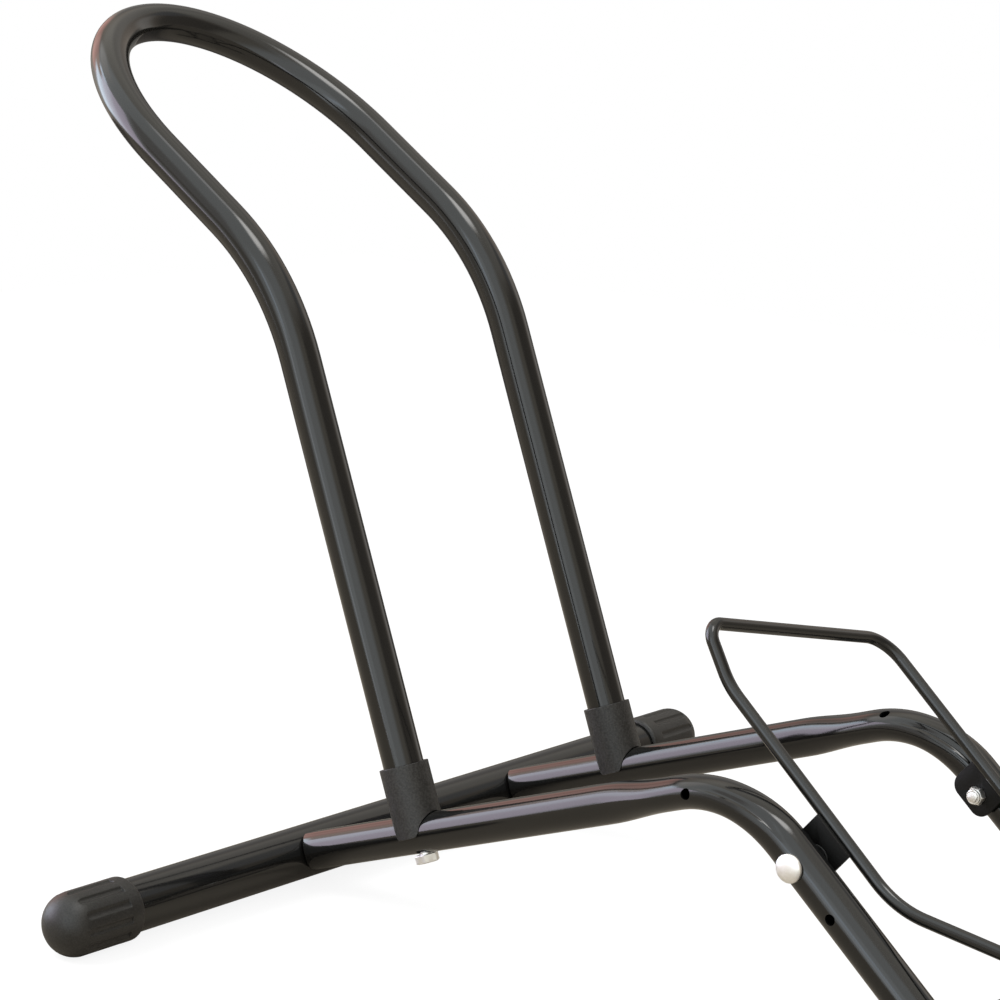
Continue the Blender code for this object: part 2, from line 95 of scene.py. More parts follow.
base = rear_axis - front_axis
rise_length = base.length * sin(radians(RAIL_FALL)) / sin(radians(RAIL_RISE + RAIL_FALL))
rise = heading(RAIL_RISE)
fall = heading(-RAIL_FALL)
corner = front_axis + rise * rise_length
print(f"rails {2 * rail_y * 1000:.0f} mm apart, corner {rise_length * 1000:.1f} mm up the slope")

# %% [markdown]
# ## Helpers for pieces
#
# Every piece needs the same last steps: shading, a material, the body that it rides on, and the CAD node that it
# stands for. One function does them all, so that no piece can miss a step. Another one cuts holes and applies
# modifiers, and leaves plain mesh to be shaded.

# %% Make a piece, and settle its modifiers
SHARP_ANGLE = 32.0


def add_object(name, data):
    """A new object for a mesh, a lamp or a camera, linked into the scene."""
    made = bpy.data.objects.new(name, data)
    bpy.context.scene.collection.objects.link(made)
    return made


def place_piece(name, mesh, finish, node, body="frame", matrix=None):
    """An object for this mesh, with its finish, its body and the CAD node that it stands for."""
    made = add_object(name, mesh)
    if matrix is not None:
        made.matrix_world = matrix
    mesh.materials.clear()
    mesh.materials.append(finish)
    mesh.shade_smooth()
    mesh.set_sharp_from_angle(angle=radians(SHARP_ANGLE))
    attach(made, body)
    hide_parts(node)


def settle(name, mesh, drills, modifiers=()):
    """The mesh that these drills and modifiers leave; the drills are removed."""
    made = add_object(name, mesh)
    steps = [("BOOLEAN", {"operation": "DIFFERENCE", "object": tool, "solver": "EXACT"}) for tool in drills]
    for kind, values in (*steps, *modifiers):
        step = made.modifiers.new(kind.lower(), kind)
        for key, value in values.items():
            setattr(step, key, value)
    bpy.context.view_layer.update()
    view = bpy.context.evaluated_depsgraph_get()
    settled = bpy.data.meshes.new_from_object(made.evaluated_get(view))
    for used in (made, *drills):
        bpy.data.objects.remove(used)
    return settled


def mesh_from(name, work):
    """A mesh from a bmesh, with its normals outwards."""
    bmesh.ops.recalc_face_normals(work, faces=work.faces)
    mesh = bpy.data.meshes.new(name)
    work.to_mesh(mesh)
    work.free()
    return mesh


# %% [markdown]
# ## Helpers for nodes
#
# These helpers add a node and fill its inputs in one step: a socket is linked, and anything else is set as a value.

# %% Add nodes to a tree
MIX_COLOURS = (6, 7)
MIX_RESULT = 2


def feed(node, inputs):
    """Link each input to a socket, or set it to a value."""
    for key, value in inputs.items():
        if isinstance(value, bpy.types.NodeSocket):
            node.id_data.links.new(value, node.inputs[key])
        else:
            node.inputs[key].default_value = value


def add(tree, kind, inputs=None, **settings):
    """A new node in this tree, with its settings and its inputs."""
    node = tree.nodes.new(kind)
    for key, value in settings.items():
        setattr(node, key, value)
    feed(node, inputs or {})
    return node


def maths(tree, operation, *values):
    """Result of a Math node; each value is a socket or a number."""
    return add(tree, "ShaderNodeMath", dict(enumerate(values)), operation=operation).outputs[0]


def blended(tree, factor, below, above):
    """Mix of two colours; a colour is a socket or three numbers."""
    colours = [(*value, 1.0) if isinstance(value, tuple) else value for value in (below, above)]
    inputs = {"Factor": factor, **dict(zip(MIX_COLOURS, colours))}
    return add(tree, "ShaderNodeMix", inputs, data_type="RGBA").outputs[MIX_RESULT]


def new_group(name, inputs, outputs):
    """An empty node group with these inputs and their defaults, and these outputs."""
    group = bpy.data.node_groups.new(name, "ShaderNodeTree")
    for label, value in inputs.items():
        made = group.interface.new_socket(name=label, in_out="INPUT", socket_type="NodeSocketFloat")
        made.default_value = value
    for label in outputs:
        group.interface.new_socket(name=label, in_out="OUTPUT", socket_type="NodeSocketFloat")
    return group


# %% [markdown]
# ## Grain: one node group for every surface
#
# Coat, plastic and plating all have a very fine unevenness, each at its own scale. It breaks up a reflection much
# more than it changes the colour. Two layers of noise in object space make it, so it stays on a piece that moves.
# The group gives a height for a Bump node and a soft value for the roughness.

# %% Shader node group: surface grain
GRAIN_INPUTS = {"Grain Scale": 1500.0, "Wave Scale": 90.0, "Wave Share": 0.3}
GRAIN_DETAIL = 2.0
WAVE_DETAIL = 3.0


def build_grain_group():
    """Node group with a fine grain and a slow waviness."""
    group = new_group("surface_grain", GRAIN_INPUTS, ("Height", "Mottle"))
    given = add(group, "NodeGroupInput").outputs
    place = add(group, "ShaderNodeTexCoord").outputs["Object"]
    grain, wave = [
        add(group, "ShaderNodeTexNoise", {"Vector": place, "Scale": given[scale], "Detail": detail}).outputs["Fac"]
        for scale, detail in (("Grain Scale", GRAIN_DETAIL), ("Wave Scale", WAVE_DETAIL))]
    blend = add(group, "ShaderNodeMix", {"Factor": given["Wave Share"], "A": grain, "B": wave})
    add(group, "NodeGroupOutput", {"Height": blend.outputs["Result"], "Mottle": wave})
    return group


grain_group = build_grain_group()
print("group sockets:", [item.name for item in grain_group.interface.items_tree])

# %% [markdown]
# ## Finishes
#
# The grain moves the base colour between a dark and a light tone, the slow mottle moves the roughness, and the fine
# grain goes through a Bump node. A handful of numbers sets the finishes apart: the powder coat mirrors lamps as
# soft bands, sleeves and caps are matt plastic, and the fasteners are zinc-plated steel.

# %% The finish recipe
CONTRAST = {"From Min": 0.35, "From Max": 0.65}


def finish(name, dark, light, rough, grain, metallic=0.0, specular=0.5):
    """Principled finish; grain is (scale, wave scale, wave share, bump in mm)."""
    made = bpy.data.materials.new(name)
    made.use_nodes = True
    tree = made.node_tree
    *grain_values, bump_mm = grain
    surface = add(tree, "ShaderNodeGroup", dict(zip(GRAIN_INPUTS, grain_values)), node_tree=grain_group).outputs
    contrast = add(tree, "ShaderNodeMapRange", {"Value": surface["Height"], **CONTRAST})
    colour = blended(tree, contrast.outputs["Result"], dark, light)
    spread = {"Value": surface["Mottle"], "To Min": rough[0], "To Max": rough[1]}
    roughness = add(tree, "ShaderNodeMapRange", spread).outputs["Result"]
    relief = {"Strength": 1.0, "Distance": bump_mm / 1000, "Height": surface["Height"]}
    normal = add(tree, "ShaderNodeBump", relief).outputs["Normal"]
    feed(tree.nodes["Principled BSDF"], {"Base Color": colour, "Roughness": roughness, "Normal": normal,
                                         "Metallic": metallic, "Specular IOR Level": specular})
    return made


powder_coat = finish("black_powder_coat", (0.007, 0.007, 0.0068), (0.011, 0.011, 0.0106), (0.09, 0.13),
                     (1300, 60, 0.15, 0.01))
wire_coat = finish("black_wire_coat", (0.008, 0.0084, 0.0084), (0.012, 0.0125, 0.0125), (0.13, 0.18),
                   (1300, 80, 0.15, 0.01))
plate_coat = finish("black_plate_coat", (0.002, 0.002, 0.002), (0.004, 0.004, 0.004), (0.5, 0.62),
                    (1100, 90, 0.2, 0.05), specular=0.25)
sleeve_plastic = finish("grained_sleeve_plastic", (0.005, 0.0048, 0.0046), (0.032, 0.031, 0.03), (0.42, 0.55),
                        (850, 140, 0.1, 0.2))
cap_plastic = finish("moulded_cap_plastic", (0.01, 0.0097, 0.009), (0.024, 0.0235, 0.0225), (0.4, 0.5),
                     (1000, 90, 0.15, 0.09), specular=0.45)
zinc_plate = finish("bright_zinc_plate", (0.9, 0.9, 0.89), (0.96, 0.96, 0.95), (0.4, 0.5),
                    (1200, 160, 0.4, 0.006), metallic=1.0)
dull_washer = finish("dull_washer_zinc", (0.03, 0.03, 0.03), (0.06, 0.06, 0.06), (0.6, 0.75),
                     (1200, 160, 0.4, 0.02), metallic=1.0)
finishes = (powder_coat, wire_coat, plate_coat, sleeve_plastic, cap_plastic, zinc_plate, dull_washer)
print("finishes:", [made.name for made in finishes])

# %% [markdown]
# ## From corners to a bent line
#
# A tube bender leaves straight runs with a round arc at each bend. So a route is given as corners and bend radii,
# as a workshop would, and the points in between are worked out.

# %% Points along a bent route
BEND_STEP = 2.5


def rounded(corners, radii, closed=False):
    """Points along straight runs through the corners, with an arc of the given radius at each bend."""
    count = len(corners)
    points = [] if closed else [corners[0]]
    for index in range(count) if closed else range(1, count - 1):
        here = corners[index]
        back = (corners[index - 1] - here).normalized()
        ahead = (corners[(index + 1) % count] - here).normalized()
        turn = pi - back.angle(ahead)
        radius = radii[index]
        trim = radius * tan(turn / 2)
        centre = here + (back + ahead).normalized() * (radius / cos(turn / 2))
        first = (here + back * trim - centre).normalized()
        last = (here + ahead * trim - centre).normalized()
        steps = max(2, ceil(degrees(turn) / BEND_STEP))
        points += [centre + first.slerp(last, step / steps) * radius for step in range(steps + 1)]
    if not closed:
        points.append(corners[-1])
    return points


# %% [markdown]
# ## Sweep a round section along the line
#
# A curve with a round bevel offers no say over each ring of vertices, and this rack needs that: two bends are
# pressed oval and some tube ends are cut to fit another tube. So the rings are made in mesh code. Each stands
# square to the route, and a fixed reference direction keeps them from twisting.

# %% Rings and skins
def full_turn(steps):
    """Angles that divide a full turn into this many steps."""
    return [2 * pi * step / steps for step in range(steps)]


def quarter_turn(steps):
    """Angles from zero to a quarter turn, in this many steps."""
    return [pi / 2 * step / steps for step in range(steps + 1)]


def ring_axes(path, reference, closed=False):
    """For each point of the path: the point, and two unit directions across the tube."""
    count = len(path)
    rows = []
    for index, point in enumerate(path):
        before = path[index - 1] if closed or index else point
        after = path[(index + 1) % count] if closed or index < count - 1 else point
        along = (after - before).normalized()
        across = along.cross(reference).normalized()
        rows.append((point, across, across.cross(along)))
    return rows


def bridge(work, lower, upper):
    """Quads between two rings of vertices."""
    for index in range(len(lower)):
        work.faces.new((lower[index - 1], lower[index], upper[index], upper[index - 1]))


def skin(work, rings, closed=False):
    """Quads between neighbouring rings of points; returns the first and the last ring's vertices."""
    made = [[work.verts.new(point) for point in ring] for ring in rings]
    for lower, upper in zip(made, made[1:]):
        bridge(work, lower, upper)
    if closed:
        bridge(work, made[-1], made[0])
    return made[0], made[-1]


def circle(point, across, up, radius, sides):
    """A ring of points round this point."""
    return [point + (across * cos(a) + up * sin(a)) * radius for a in full_turn(sides)]


def hollow_mesh(name, outer, inner, shift=0.0):
    """Open pipe from the rings of its two skins, moved sideways by the shift."""
    work = bmesh.new()
    for first, second in zip(skin(work, outer), skin(work, inner)):
        bridge(work, first, second)
    bmesh.ops.translate(work, verts=work.verts, vec=sideways(shift))
    return mesh_from(name, work)


def pipe_mesh(name, path, reference, radius, wall, sides):
    """Open pipe with a round section along the path."""
    rows = ring_axes(path, reference)
    return hollow_mesh(name, *[[circle(*row, reach, sides) for row in rows] for reach in (radius, radius - wall)])


# %% [markdown]
# ## Cross tubes
#
# The rack stands on two straight tubes, of which only the stretch between the caps shows. They make a good first
# use of the pipe function.

# %% Both cross tubes
TUBE_WALL = 0.0015
CROSS_RINGS = 24
CROSS_SIDES = 72

for end, axis in tube_ends:
    line = [axis + sideways(cross_half * (2 * ring / CROSS_RINGS - 1)) for ring in range(CROSS_RINGS + 1)]
    mesh = pipe_mesh(f"{end}_cross_tube_skin", line, Vector((0, 0, 1)), cross_radius, TUBE_WALL, CROSS_SIDES)
    place_piece(f"{end}_cross_tube_skin", mesh, powder_coat, f"{end}_cross_tube")
print(f"cross tubes {2 * cross_half * 1000:.0f} mm long")

# %% [markdown]
# ## Hoop
#
# The hoop is one tube. Each leg goes up from its sleeve, bends further forward and runs into the arch that joins
# the two sides, half an ellipse in the plane of the upper legs. Corners give the legs, a formula gives the arch,
# and one sweep follows them all.

# %% Hoop tube
HOOP_RADIUS = 0.0125
HOOP_SIDES = 56
HOOP_SEAT = 0.108
HOOP_LEAN = 111.65
HOOP_LEG = 0.3505
HOOP_UPPER_LEAN = 147.5
HOOP_UPPER = 0.123
HOOP_BEND = 0.166
ARCH_DEPTH = 0.131
ARCH_STEPS = 96
RAIL_RADIUS = 0.012
COPE_GAP = 0.0003

leg_direction = heading(HOOP_LEAN)
seat = front_axis + rise * HOOP_SEAT
leg_tilt = tan(radians(abs(HOOP_LEAN - RAIL_RISE - 90)))
leg_foot = RAIL_RADIUS + HOOP_RADIUS * leg_tilt + COPE_GAP
knee = seat + leg_direction * HOOP_LEG
arch_start = knee + heading(HOOP_UPPER_LEAN) * HOOP_UPPER


def hoop_route():
    """Middle line of the hoop, from the left leg's foot to the right leg's foot."""
    out = sideways(rail_y)
    leg = rounded([seat + leg_direction * leg_foot, knee, arch_start], [0, HOOP_BEND, 0])[:-1]
    arch = []
    for step in range(ARCH_STEPS + 1):
        turn = pi * step / ARCH_STEPS
        forward = heading(HOOP_UPPER_LEAN) * ARCH_DEPTH * sin(turn)
        arch.append(arch_start + forward - out * cos(turn))
    return [point - out for point in leg] + arch + [point + out for point in reversed(leg)]


across_hoop = heading((HOOP_LEAN + HOOP_UPPER_LEAN) / 2 - 90)
route = hoop_route()
mesh = pipe_mesh("hoop", route, across_hoop, HOOP_RADIUS, TUBE_WALL, HOOP_SIDES)
place_piece("hoop", mesh, powder_coat, "hoop_tube")
print("hoop rings:", len(route))

# %% [markdown]
# ## Rails
#
# Each rail rises from the front cross tube, bends over and falls to the rear one. Its ends are coped: cut to sit on
# a round tube, with the edge rolled in a little. In the bend the tool has pressed the tube oval, wider across and
# thinner in the plane of the bend. Along both upper shoulders the wall has sunk in by a millimetre, and the light
# shows that dent as a dark lens.
#
# A ring at a coped end is not flat. For each of its points, the distance to the cross tube follows from Pythagoras,
# so the end fits without any cutting.

# %% Sections and routes of a rail
RAIL_BEND = 0.076
RAIL_SIDES = 120
PRESS_DEPTH = 0.0022
PRESS_WIDTH = 0.0020
PRESS_LEAD = 0.011
PRESS_HOLD = 0.045
PRESS_IN = 0.040
PRESS_OUT = 0.045
FOLD_DEPTH = 0.0011
FOLD_FROM = 36
FOLD_DEEPEST = 58
FOLD_TO = 67
FOLD_MIDDLE = 0.049
FOLD_LENGTH = 0.036
FOLD_FULLNESS = 1.5
LIP_ROLL = 0.0024
LIP_STEPS = 6
COPE_CLEAR = 0.026
RAIL_STATION = 0.006


def ease(value):
    """A smooth step: 0 up to 0, 1 from 1."""
    value = min(1.0, max(0.0, value))
    return value * value * (3 - 2 * value)


def press_amount(distance, bend_start):
    """How far the bend tool has pressed the tube at this distance along it, from 0 to 1."""
    full_from = bend_start - PRESS_LEAD
    if distance < full_from:
        return ease(1 - (full_from - distance) / PRESS_IN)
    return ease(1 - max(0.0, distance - full_from - PRESS_HOLD) / PRESS_OUT)


def fold_at(distance):
    """How deep the shoulders have sunk in, at this distance from the start of the bend."""
    return FOLD_DEPTH * ease(FOLD_FULLNESS - FOLD_FULLNESS * abs(distance - FOLD_MIDDLE) / FOLD_LENGTH)


def rail_section(inset, amount=0.0, fold=0.0):
    """Offsets (across, up) of one ring, set in, pressed by this amount and folded in by this depth."""
    wide = RAIL_RADIUS + amount * PRESS_WIDTH - inset
    thick = RAIL_RADIUS - amount * PRESS_DEPTH - inset
    ring = []
    for angle in full_turn(RAIL_SIDES):
        from_top = degrees(min(angle, 2 * pi - angle))
        dent = fold * ease((from_top - FOLD_FROM) / (FOLD_DEEPEST - FOLD_FROM))
        dent *= ease((FOLD_TO - from_top) / (FOLD_TO - FOLD_DEEPEST))
        ring.append(((wide - dent) * sin(angle), (thick - dent) * cos(angle)))
    return ring


def coped_ring(axis, along, up, inset, setback):
    """A ring that follows the cross tube's surface, set in from the rail's skin and back from the tube."""
    fit = cross_radius + COPE_GAP
    points = []
    for across, height in rail_section(inset):
        reach = sqrt(fit * fit - height * height) + setback
        points.append(axis + along * reach + up * height - sideways(across))
    return points


def lip(inset):
    """Inset and setback of each ring of a rolled edge; an inner skin has two rings."""
    if inset:
        return [(LIP_ROLL + COPE_GAP, 0.0), (inset, LIP_ROLL * 2)]
    return [(LIP_ROLL * (1 - sin(turn)), LIP_ROLL * (1 - cos(turn))) for turn in quarter_turn(LIP_STEPS)]


def rail_rings(inset):
    """All rings of one skin of a rail, from the front cross tube to the rear one."""
    start = front_axis + rise * COPE_CLEAR
    last_point = rear_axis - fall * COPE_CLEAR
    bend = rounded([start, corner, last_point], [0, RAIL_BEND, 0])
    path = []
    for first, last in ((bend[0], bend[1]), (bend[-2], bend[-1])):
        count = ceil((last - first).length / RAIL_STATION)
        run = [first.lerp(last, step / count) for step in range(count + 1)]
        path += run if first == bend[0] else bend[2:-2] + run
    bend_start = (bend[1] - front_axis).length
    rings = [coped_ring(front_axis, rise, heading(RAIL_RISE + 90), *row) for row in lip(inset)]
    distance = COPE_CLEAR
    before = path[0]
    for point, across, up in ring_axes(path, heading(90)):
        distance += (point - before).length
        before = point
        section = rail_section(inset, press_amount(distance, bend_start), fold_at(distance - bend_start))
        rings.append([point + across * x + up * z for x, z in section])
    rear = [coped_ring(rear_axis, -fall, heading(90 - RAIL_FALL), *row) for row in lip(inset)]
    return rings + rear[::-1]


# %% [markdown]
# The holes are cut after that, with thin cylinders and the Boolean modifier. The cut mesh is settled before it is
# shaded, so the rims of the holes stay sharp while the tube around them stays smooth.

# %% Drill and place both rails
SPARE_HOLE = 0.0032
SPARE_FRONT = 0.325
SPARE_REAR = 0.0925
SPARE_TURN = 42.0
HOOP_BOLT_HOLE = 0.0043
PIVOT_HOLE = 0.0033
DRILL_SIDES = 40
RAIL_DRILL = 3 * RAIL_RADIUS


def drill(name, point, direction, radius, reach, one_side=False):
    """A cylinder object that cuts a hole through this point along this direction."""
    work = bmesh.new()
    bmesh.ops.create_cone(work, cap_ends=True, segments=DRILL_SIDES, radius1=radius, radius2=radius, depth=reach)
    made = add_object(name, mesh_from(name, work))
    shift = reach / 2 if one_side else 0.0
    turn = direction.to_track_quat("Z", "Y").to_matrix().to_4x4()
    made.matrix_world = Matrix.Translation(point + direction * shift) @ turn
    return made


def build_rail(name, side):
    """One rail, swept, moved to its side and drilled."""
    shift = side * rail_y
    mesh = hollow_mesh(name, rail_rings(0.0), rail_rings(TUBE_WALL), shift)
    lift = 0.0 if side < 0 else radians(SPARE_TURN)
    outwards = sideways(-cos(lift)) + heading(RAIL_RISE + 90) * sin(lift)
    cuts = [(front_axis + rise * SPARE_FRONT, outwards, SPARE_HOLE, True),
            (corner + fall * SPARE_REAR, sideways(1), SPARE_HOLE, False),
            (seat, leg_direction, HOOP_BOLT_HOLE, False),
            (pivot, sideways(1), PIVOT_HOLE, False)]
    drills = []
    for number, (point, direction, radius, one_side) in enumerate(cuts):
        start = point + sideways(shift)
        drills.append(drill(f"{name}_drill_{number}", start, direction, radius, RAIL_DRILL, one_side))
    return settle(name, mesh, drills)


for hand, side in SIDES:
    mesh = build_rail(f"{hand}_rail_skin", side)
    place_piece(f"{hand}_rail_skin", mesh, powder_coat, f"{hand}_rail")
    print(f"{hand} rail: {len(mesh.polygons)} faces")

# %% [markdown]
# ## End caps
#
# A cap is a moulded plastic cup with twelve flutes. A flute is a round-bottomed groove, square at the plain collar
# and round at its other end, where it runs out into the dome. On an even grid, those round ends would come out as
# stairs. So the rows of the grid bend: in each column they end on the flute's own outline. All four caps share this
# one mesh.

# %% One fluted cap
CAP_FLUTES = 12
CAP_RADIUS = 0.0195
CAP_COLLAR = 0.0105
CAP_DOME = 0.0175
CAP_FULLNESS = 0.88
CAP_FLOOR = 0.010
COLLAR_RING = 0.7
RIM_ROUND = (0.0024, 0.0030)
RIM_STEPS = 5
FLUTE_DEPTH = 0.0012
FLUTE_HALF = 0.0022
FLUTE_WALL = 0.0004
FLUTE_EDGE = 1.5
FLUTE_RAMP = ((-1.5, 0.0), (-0.5, 0.07), (0.0, 0.5), (0.5, 0.93), (1.5, 1.0))
FLUTE_START = (*FLUTE_RAMP, (5.0, 1.0))
FLUTE_STOP = ((-8.0, 1.0), (-4.0, 1.0), *((-offset, share) for offset, share in FLUTE_RAMP[::-1]))
FLUTE_PROFILE = ((0.0, 1.0), (0.3, 0.97), (0.52, 0.86), (0.72, 0.66), (0.9, 0.38), (1.04, 0.15), (1.16, 0.03),
                 (1.3, 0.0), (1.7, 0.0))
FLUTE_PAST_BASE = 0.0026
BULGE_FADE = 10
SKIRT_ROWS = (0.25, 0.5, 0.75)
DOME_ROWS = 18
DOME_BULGE_ROWS = 6

cap_low, cap_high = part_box("front_right_end_cap")
cap_rim = cap_low.y
cap_length = cap_high.y - cap_low.y
dome_base = cap_length - CAP_DOME
flute_half_turn = FLUTE_HALF / CAP_RADIUS


def cap_reach(height):
    """Radius of the cap's smooth outside at this height above the rim."""
    turn = asin(min(1.0, max(0.0, height - dome_base) / CAP_DOME))
    return CAP_RADIUS * cos(turn) ** CAP_FULLNESS


def cap_columns():
    """Angle of each column in one flute's turn, and how deep in the flute it lies, from 0 to 1."""
    side = [(flute_half_turn * across, depth) for across, depth in FLUTE_PROFILE]
    mirrored = [(-angle, share) for angle, share in side[:0:-1]]
    return mirrored + side + [(pi / CAP_FLUTES, 0.0)]


def cap_ring(work, height, radius=None, share=0.0, bulge=0.0):
    """A ring; share is how deep the flutes are here, bulge moves their middles along the cap."""
    made = []
    floor_reach = CAP_RADIUS - FLUTE_DEPTH
    for flute in range(CAP_FLUTES):
        for angle, depth in cap_columns():
            round_end = sqrt(max(0.0, 1 - (angle / flute_half_turn) ** 2)) * bulge
            reach = cap_reach(height + round_end) if radius is None else radius
            reach -= max(0.0, reach - floor_reach) * share * depth
            turn = 2 * pi * flute / CAP_FLUTES + angle
            made.append(work.verts.new((reach * cos(turn), reach * sin(turn), height + round_end)))
    return made


def cap_mesh():
    """The cap along local Z, its open rim at Z = 0 and a flute's middle facing local X."""
    work = bmesh.new()
    bore = cross_radius + COPE_GAP
    rings = [cap_ring(work, cap_length - CAP_FLOOR, bore), cap_ring(work, 0.0, bore)]
    for turn in quarter_turn(RIM_STEPS):
        rings.append(cap_ring(work, RIM_ROUND[1] * (1 - cos(turn)),
                              CAP_RADIUS - RIM_ROUND[0] * (1 - sin(turn))))
    rings.append(cap_ring(work, CAP_COLLAR * COLLAR_RING))
    for offset, share in FLUTE_START:
        rings.append(cap_ring(work, CAP_COLLAR + offset * FLUTE_WALL, share=share))
    for along in SKIRT_ROWS:
        rings.append(cap_ring(work, CAP_COLLAR + (dome_base - CAP_COLLAR) * along, share=1.0))
    flute_end = dome_base + FLUTE_PAST_BASE
    for offset, share in FLUTE_STOP:
        bulge = FLUTE_HALF * (1 - max(0.0, -offset - FLUTE_EDGE) / BULGE_FADE)
        rings.append(cap_ring(work, flute_end + offset * FLUTE_WALL, share=share, bulge=bulge))
    first_turn = asin((FLUTE_PAST_BASE + FLUTE_EDGE * FLUTE_WALL) / CAP_DOME)
    for row in range(1, DOME_ROWS):
        turn = first_turn + (pi / 2 - first_turn) * row / DOME_ROWS
        bulge = FLUTE_HALF * max(0.0, 1 - row / DOME_BULGE_ROWS)
        rings.append(cap_ring(work, dome_base + CAP_DOME * sin(turn), bulge=bulge))
    for lower, upper in zip(rings, rings[1:]):
        bridge(work, lower, upper)
    work.faces.new(rings[0])
    tip = work.verts.new((0, 0, cap_length))
    last = rings[-1]
    for index in range(len(last)):
        work.faces.new((last[index - 1], last[index], tip))
    return mesh_from("end_cap_skin", work)


# %% Place the four caps
shared_cap = cap_mesh()
for end, axis in tube_ends:
    for hand, side in SIDES:
        outwards = sideways(side)
        flute = Vector((0, 0, 1))
        turn = Matrix((flute, outwards.cross(flute), outwards)).transposed().to_4x4()
        matrix = Matrix.Translation(axis + outwards * cap_rim) @ turn
        place_piece(f"{end}_{hand}_cap_skin", shared_cap, cap_plastic,
                    f"{end}_{hand}_end_cap", matrix=matrix)
print(f"cap: {len(shared_cap.polygons)} faces, {cap_length * 1000:.1f} mm long")

# %% [markdown]
# ## Saddle sleeves
#
# Where a hoop leg meets its rail, a plastic sleeve covers the joint. Its foot straddles the rail, with a round
# tongue hanging down each side. The height of that cut is a function of the place round the sleeve, so each column
# of the mesh simply starts at the right height.

# %% Both sleeves
SLEEVE_RADIUS = 0.0152
SLEEVE_HEIGHT = 0.0427
SLEEVE_COLUMNS = 144
SLEEVE_ROWS = 12
TONGUE_DROP = 0.001
TONGUE_ROUND = 0.004
SLEEVE_EDGE = 0.0003
EDGE_CORNER = SLEEVE_EDGE * 0.3

saddle_radius = RAIL_RADIUS + COPE_GAP
sleeve_bore = HOOP_RADIUS + COPE_GAP
shoulder = TONGUE_ROUND - TONGUE_DROP
tongue_half = sqrt(SLEEVE_RADIUS ** 2 - saddle_radius ** 2 + shoulder ** 2)


def sleeve_foot(along, across):
    """Height of the sleeve's lower edge above the rail's middle line."""
    heights = []
    if abs(across) < saddle_radius:
        heights.append(sqrt(saddle_radius ** 2 - across ** 2) - along * leg_tilt)
    flat = tongue_half - TONGUE_ROUND
    if abs(along) <= flat:
        heights.append(-TONGUE_DROP)
    elif abs(along) < tongue_half:
        heights.append(shoulder - sqrt(TONGUE_ROUND ** 2 - (abs(along) - flat) ** 2))
    return max(heights)


def sleeve_mesh(name, side):
    """Sleeve round the leg of one side; its rows go up the outside and back to the bore."""
    along_rail = heading(HOOP_LEAN - 90)
    foot = seat + sideways(side * rail_y)
    bite = SLEEVE_EDGE
    outer, inner = SLEEVE_RADIUS, sleeve_bore
    rows = [(inner, "low", bite), (inner + bite, "low", 0), ((inner + outer) / 2, "low", 0),
            (outer - bite, "low", 0), (outer, "low", bite)]
    rows += [(outer, "share", step / SLEEVE_ROWS) for step in range(1, SLEEVE_ROWS)]
    rows += [(outer, "top", -2 * bite), (outer, "top", -bite), (outer - EDGE_CORNER, "top", -EDGE_CORNER),
             (outer - bite, "top", 0), (inner + bite, "top", 0), (inner, "top", -bite)]
    rings = []
    for radius, kind, amount in rows:
        ring = []
        for angle in full_turn(SLEEVE_COLUMNS):
            along, across = radius * cos(angle), radius * sin(angle)
            low = sleeve_foot(along, across)
            height = {"low": low + amount, "share": low + (SLEEVE_HEIGHT - low) * amount,
                      "top": SLEEVE_HEIGHT + amount}[kind]
            ring.append(foot + along_rail * along + sideways(across) + leg_direction * height)
        rings.append(ring)
    work = bmesh.new()
    skin(work, rings, closed=True)
    return mesh_from(name, work)


for hand, side in SIDES:
    mesh = sleeve_mesh(f"{hand}_sleeve_skin", side)
    place_piece(f"{hand}_sleeve_skin", mesh, sleeve_plastic,
                f"{hand}_saddle_sleeve")
print(f"sleeves: tongue {2 * tongue_half * 1000:.1f} mm wide")

# %% [markdown]
# ## Wire loop
#
# The wheel stop is one closed loop of 7.5 mm wire. Each side has a knee, and the left side has a short steep tip as
# well, so the front bar slants down to the right. Its corners are worked out from the pivot, because the whole loop
# hangs from there.

# %% Wire of the wheel stop
WIRE_RADIUS = 0.00375
WIRE_SIDES = 32
WIRE_REFERENCE = 55
STOP_DROP = 0.0179
STOP_AHEAD = 0.1065
STOP_MIDDLE = 0.1559
STOP_MIDDLE_FALL = 40.6
STOP_TIP = 0.0378
STOP_TIP_FALL = 61.2
STOP_REAR = 0.150
STOP_REAR_FALL = 7.2
TIP_BEND = 0.0095
NECK_BEND = 0.048
KNEE_BEND = 0.061
CORNER_BEND = 0.022

wire_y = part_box("wire_loop")[1].y - WIRE_RADIUS
plate_up = heading(90 - STOP_MIDDLE_FALL)
plate_along = heading(-STOP_MIDDLE_FALL)
stop_neck = pivot + plate_up * STOP_DROP - plate_along * STOP_AHEAD
stop_knee = stop_neck + plate_along * STOP_MIDDLE
stop_tip = stop_neck - heading(-STOP_TIP_FALL) * STOP_TIP
stop_end = stop_knee + heading(-STOP_REAR_FALL) * STOP_REAR

left_run = [(stop_tip, TIP_BEND), (stop_neck, NECK_BEND), (stop_knee, KNEE_BEND), (stop_end, CORNER_BEND)]
right_run = [(stop_end, CORNER_BEND), (stop_knee, KNEE_BEND), (stop_neck, CORNER_BEND)]
stops = [point - sideways(wire_y) for point, bend in left_run]
stops += [point + sideways(wire_y) for point, bend in right_run]
route = rounded(stops, [bend for point, bend in left_run + right_run], closed=True)

work = bmesh.new()
axes = ring_axes(route, heading(WIRE_REFERENCE), closed=True)
skin(work, [circle(*row, WIRE_RADIUS, WIRE_SIDES) for row in axes], closed=True)
place_piece("wheel_stop_wire", mesh_from("wheel_stop_wire", work), wire_coat, "wire_loop",
            "wheel_stop")
print("wire rings:", len(route))

